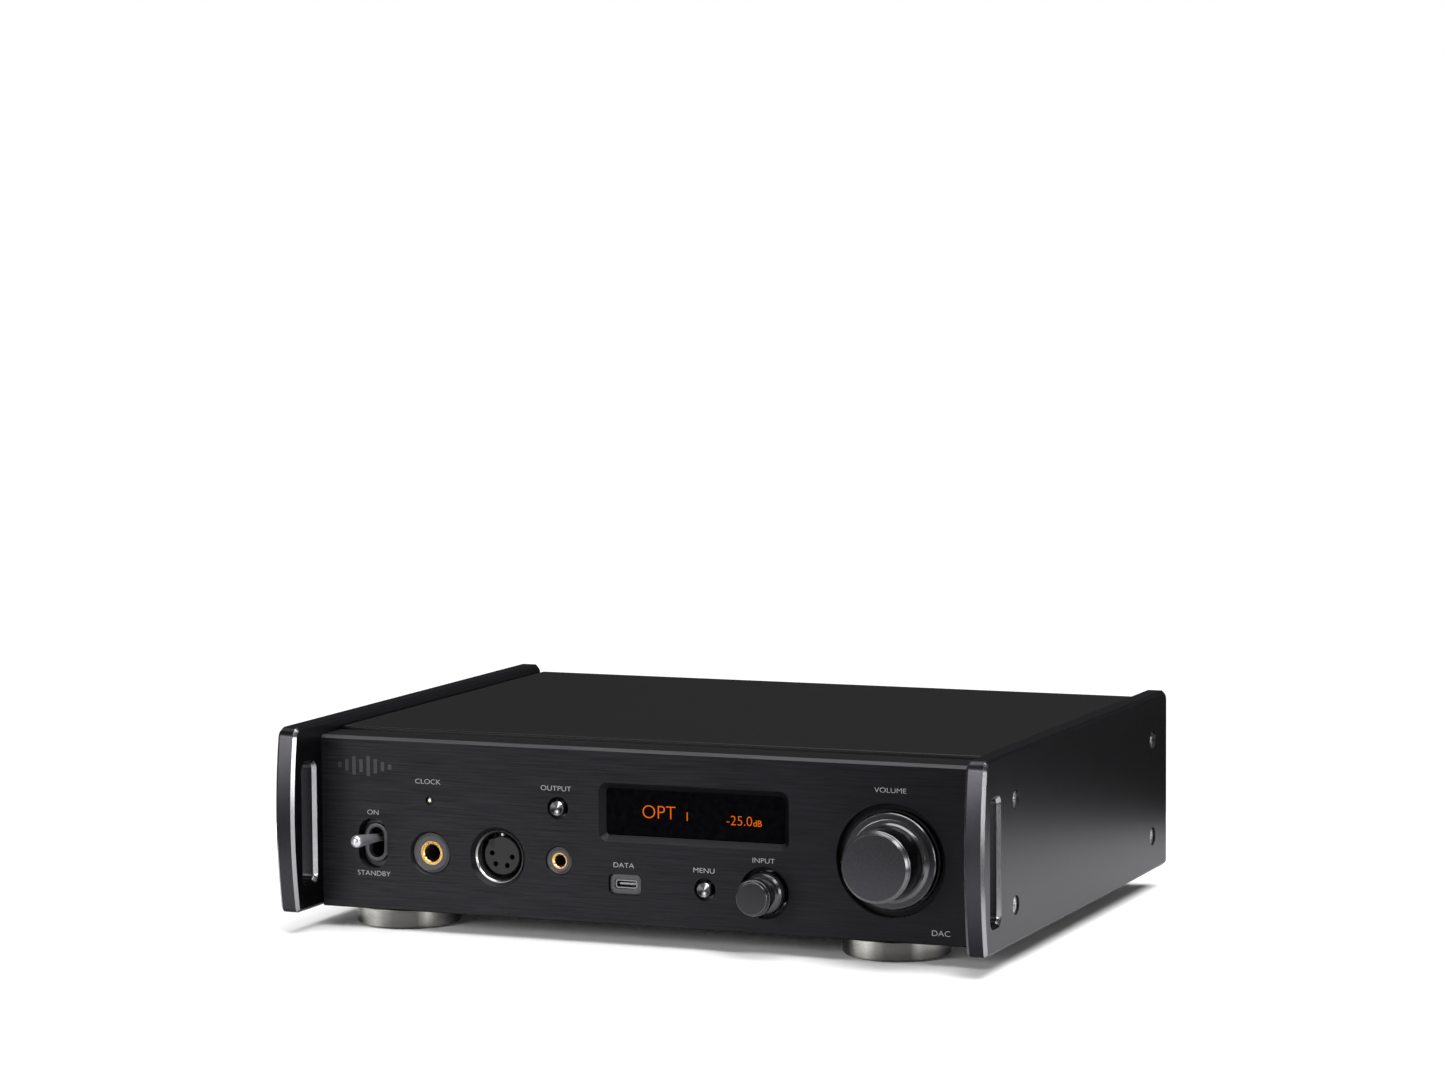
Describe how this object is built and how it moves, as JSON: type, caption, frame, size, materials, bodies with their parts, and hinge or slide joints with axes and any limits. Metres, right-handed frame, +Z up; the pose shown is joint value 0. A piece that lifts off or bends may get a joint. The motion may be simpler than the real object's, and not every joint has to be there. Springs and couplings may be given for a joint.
{
  "type": "desktop dac",
  "caption": "Desktop digital-to-analogue converter and headphone amplifier with a bevelled display, turned knobs, sockets, a power toggle and bowed side plates.",
  "frame": {"origin": "bottom centre of the bounding box, on the surface it stands on", "axes": "+X to the right seen from the front, +Y to the rear, +Z up"},
  "size_m": [0.29, 0.244, 0.0805],
  "materials": {
    "panel_black": "horizontally brushed, black anodised",
    "plate_grey": "fine blasted, dark grey anodised",
    "cover_black": "satin black paint",
    "chassis_steel": "dull black coated sheet",
    "zinc_steel": "zinc plated",
    "knob_grey": "dark grey anodised, bright turned edges",
    "ring_black": "black anodised",
    "turned_silver": "turned, clear lacquered",
    "bright_metal": "polished plating",
    "gold": "gold plated",
    "socket_grey": "moulded, fine texture",
    "black_plastic": "moulded black",
    "usb_metal": "plated shell",
    "display_glass": "dark tinted gloss",
    "lamp": "clear diffusing",
    "rubber": "soft black",
    "board": "green solder mask",
    "standoff": "nickel brass",
    "winding": "wound core in amber tape",
    "capacitor": "sleeved cans",
    "heatsink_black": "black anodised fins"
  },
  "bodies": {
    "case": {"front_panel": "panel_black", "left_side_plate": "plate_grey", "right_side_plate": "plate_grey", "top_cover": "cover_black", "rear_panel": "cover_black", "bottom_chassis": "chassis_steel", "inner_front_chassis": "zinc_steel", "volume_encoder": "zinc_steel", "input_encoder": "zinc_steel", "encoder_nuts": "zinc_steel", "side_plate_screws": "zinc_steel", "rear_panel_screws": "zinc_steel", "foot_screws": "zinc_steel", "board_screws": "zinc_steel", "transformer_bolts": "zinc_steel", "volume_ring": "ring_black", "input_ring": "ring_black", "toggle_bezel": "ring_black", "foot_front_left": "turned_silver", "foot_front_right": "turned_silver", "foot_rear": "turned_silver", "headphone_xlr_shell": "bright_metal", "usb_c_socket": "bright_metal", "jack_ring_63": "gold", "jack_ring_44": "gold", "rca_outputs": "gold", "coaxial_input": "gold", "clock_input": "gold", "headphone_jack_63": "socket_grey", "headphone_jack_44": "socket_grey", "headphone_xlr_insert": "socket_grey", "usb_c_bezel": "socket_grey", "xlr_output_left": "black_plastic", "xlr_output_right": "black_plastic", "optical_input": "black_plastic", "ac_inlet": "black_plastic", "toggle_switch_body": "black_plastic", "button_switches": "black_plastic", "display_module": "black_plastic", "usb_b_input": "usb_metal", "display_window": "display_glass", "clock_led": "lamp", "foot_pads": "rubber", "top_cover_pads": "rubber", "front_control_board": "board", "main_dac_board": "board", "power_supply_board": "board", "headphone_amp_board": "board", "board_standoffs": "standoff", "transformer_left": "winding", "transformer_right": "winding", "power_capacitors": "capacitor", "heatsink": "heatsink_black"},
    "volume_control": {"volume_knob": "knob_grey", "volume_shaft": "zinc_steel"},
    "input_control": {"input_knob": "knob_grey", "input_shaft": "zinc_steel"},
    "output_key": {"output_button": "bright_metal"},
    "menu_key": {"menu_button": "bright_metal"},
    "power_lever": {"power_toggle_lever": "bright_metal"}
  },
  "joints": [
    {"name": "volume_spin", "type": "hinge", "parent": "case", "child": "volume_control", "pos_m": [0.1002, -0.098, 0.0386], "axis": [0, 1, 0], "continuous": true},
    {"name": "input_spin", "type": "hinge", "parent": "case", "child": "input_control", "pos_m": [0.0495, -0.098, 0.0235], "axis": [0, 1, 0], "continuous": true},
    {"name": "output_press", "type": "slide", "parent": "case", "child": "output_key", "axis": [0, 1, 0], "range_m": [0, 0.0007], "stiffness_N_per_m": 1500, "springref_m": -0.0005},
    {"name": "menu_press", "type": "slide", "parent": "case", "child": "menu_key", "axis": [0, 1, 0], "range_m": [0, 0.0007], "stiffness_N_per_m": 1500, "springref_m": -0.0005},
    {"name": "power_toggle", "type": "hinge", "parent": "case", "child": "power_lever", "pos_m": [-0.11481, -0.074, 0.0342], "axis": [1, 0, 0], "range_deg": [0, 14]}
  ]
}
